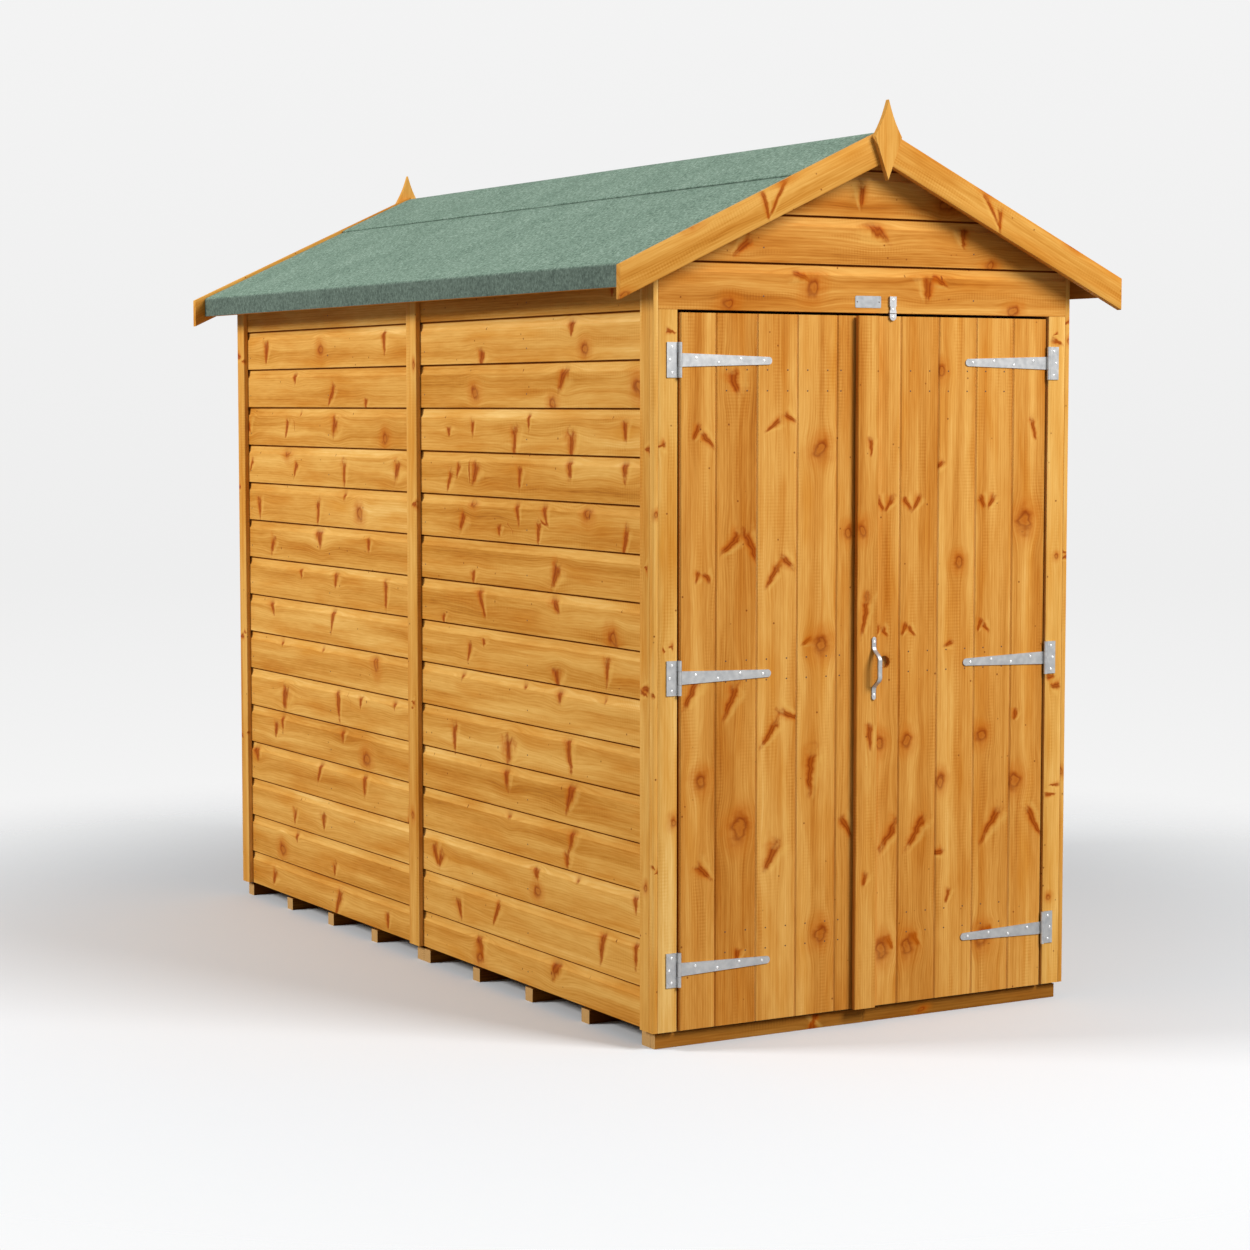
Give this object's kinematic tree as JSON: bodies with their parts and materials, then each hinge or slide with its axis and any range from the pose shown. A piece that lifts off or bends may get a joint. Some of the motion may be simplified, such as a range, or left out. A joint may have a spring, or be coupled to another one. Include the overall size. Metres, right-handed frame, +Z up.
{
  "type": "wooden garden shed",
  "caption": "Apex wooden garden shed: shiplap walls on a boarded floor, ledged double doors on T hinges, and a felted pitched roof with barge boards and finials.",
  "frame": {"origin": "middle of the footprint at ground level", "axes": "+Z up, the doors face -Y, +X to the right for someone facing the doors"},
  "size_m": [1.424, 2.574, 2.185],
  "materials": {
    "cladding": "dip-treated softwood shiplap, satin, horizontal grain",
    "joinery": "dip-treated softwood boards and strips, satin, upright grain",
    "roof_trim": "dip-treated softwood barge boards and finials, satin",
    "frame_timber": "sawn and planed softwood framing, matt",
    "floor_timber": "sawn softwood floor boards and bearers, matt",
    "roof_felt": "green mineral-faced bitumen felt, matt and gritty",
    "ironmongery": "bright zinc-plated pressed steel"
  },
  "bodies": {
    "shed": {"floor_bearers": "floor_timber", "floor_deck": "floor_timber", "left_wall_front": "cladding", "left_wall_back": "cladding", "right_wall_front": "cladding", "right_wall_back": "cladding", "back_wall": "cladding", "front_gable": "cladding", "left_wall_studs": "frame_timber", "left_wall_rails": "frame_timber", "right_wall_studs": "frame_timber", "right_wall_rails": "frame_timber", "back_wall_studs": "frame_timber", "back_wall_rails": "frame_timber", "front_posts": "joinery", "front_studs": "frame_timber", "head_rail": "frame_timber", "corner_beads": "joinery", "left_cover_strips": "joinery", "right_cover_strips": "joinery", "roof_panel_left": "frame_timber", "roof_panel_right": "frame_timber", "purlins": "frame_timber", "eave_battens": "frame_timber", "felt_left": "roof_felt", "felt_right": "roof_felt", "felt_ridge": "roof_felt", "barge_front_left": "roof_trim", "barge_front_right": "roof_trim", "barge_back_left": "roof_trim", "barge_back_right": "roof_trim", "finial_front": "roof_trim", "finial_back": "roof_trim", "hinge_plates": "ironmongery", "head_catch": "ironmongery"},
    "left_door": {"left_door_boards": "joinery", "left_door_ledges": "frame_timber", "left_hinge_straps": "ironmongery"},
    "right_door": {"right_door_boards": "joinery", "right_lock_board": "joinery", "right_door_ledges": "frame_timber", "right_hinge_straps": "ironmongery", "meeting_strip": "joinery", "pull_handle": "ironmongery", "catch_keep": "ironmongery"}
  },
  "joints": [
    {"name": "right_door_swing", "type": "hinge", "parent": "shed", "child": "right_door", "pos_m": [0.5275, -1.2243, 0.857], "axis": [0, 0, 1], "range_deg": [0, 170]},
    {"name": "left_door_swing", "type": "hinge", "parent": "shed", "child": "left_door", "pos_m": [-0.5275, -1.2243, 0.857], "axis": [0, 0, -1], "range_deg": [0, 170]}
  ],
  "couplings": [
    {"joint": "left_door_swing", "follows": "right_door_swing", "ratio": 1}
  ]
}
